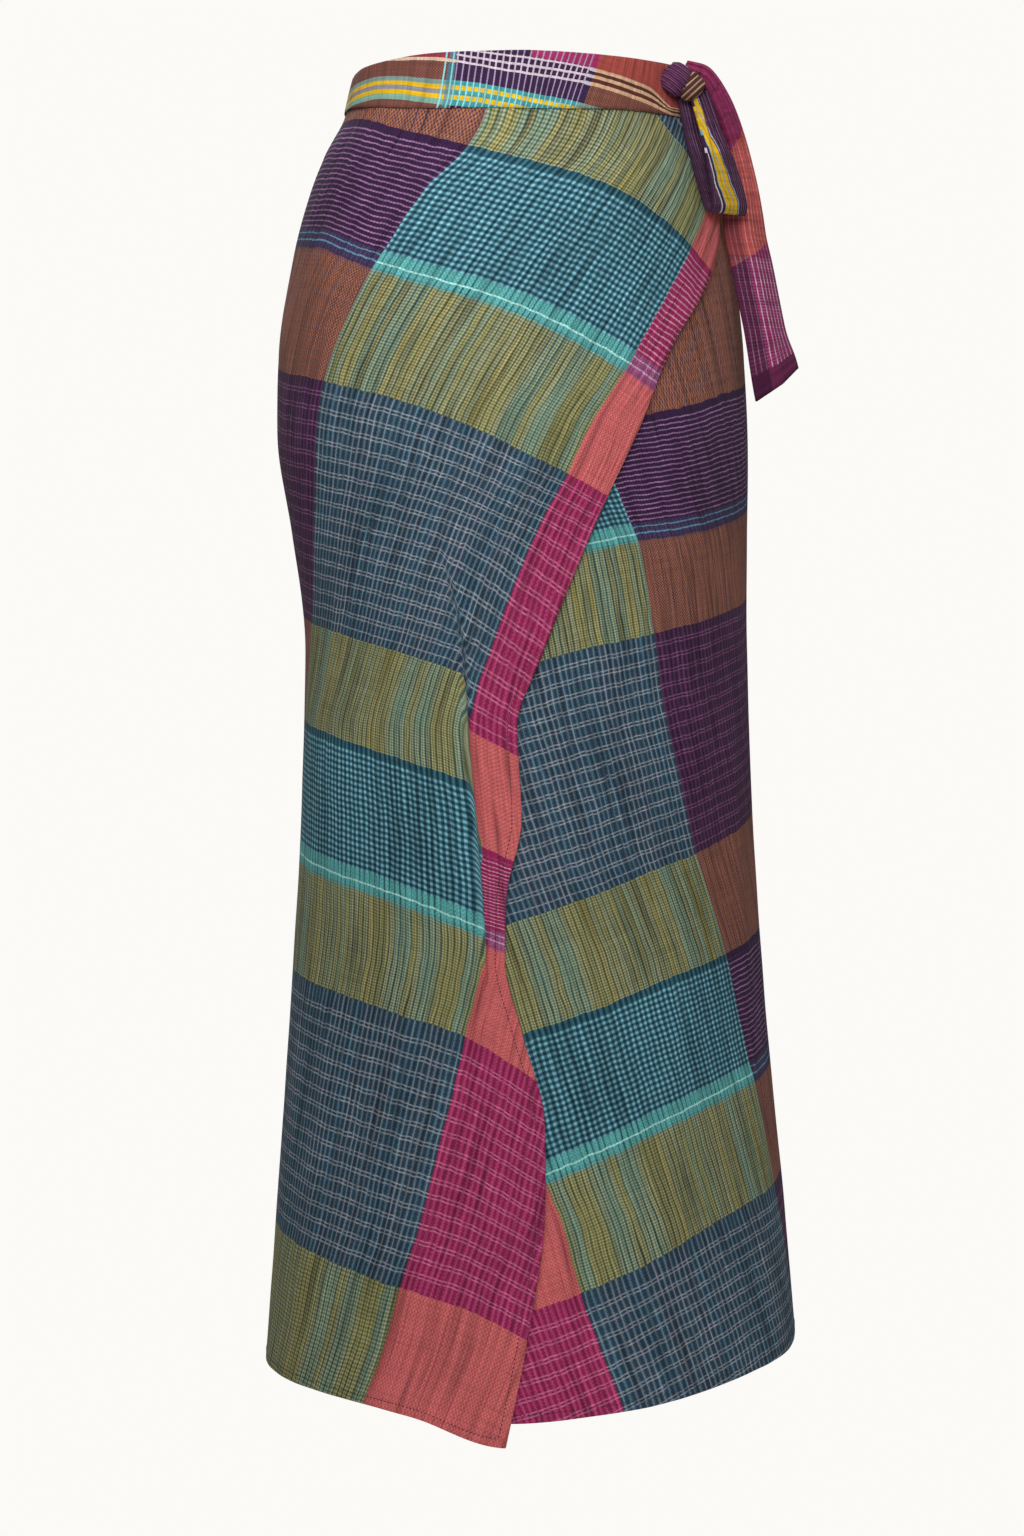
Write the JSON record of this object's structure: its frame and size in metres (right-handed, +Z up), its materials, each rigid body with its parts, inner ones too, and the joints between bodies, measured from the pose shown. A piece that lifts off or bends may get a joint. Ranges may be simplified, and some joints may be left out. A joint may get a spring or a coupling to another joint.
{
  "type": "wrap skirt",
  "caption": "Long checked cotton wrap skirt, filled out as worn, with a waistband tied in a half bow at the left front.",
  "frame": {"origin": "centre of the waist, at half the waistband's height", "axes": "+Z up, -Y the wearer's front, +X the wearer's left"},
  "size_m": [0.4005, 0.3511, 0.9183],
  "materials": {
    "olive_check": "matte",
    "blue_check": "matte",
    "plum_stripe": "matte",
    "plum_tie": "matte",
    "magenta_tie": "matte",
    "coral_tie": "matte"
  },
  "bodies": {
    "root": {"over_panel": "olive_check", "under_panel": "blue_check", "waistband": "plum_stripe", "tie_knot": "plum_tie", "tie_loop": "magenta_tie", "tie_tail": "coral_tie"}
  },
  "joints": []
}
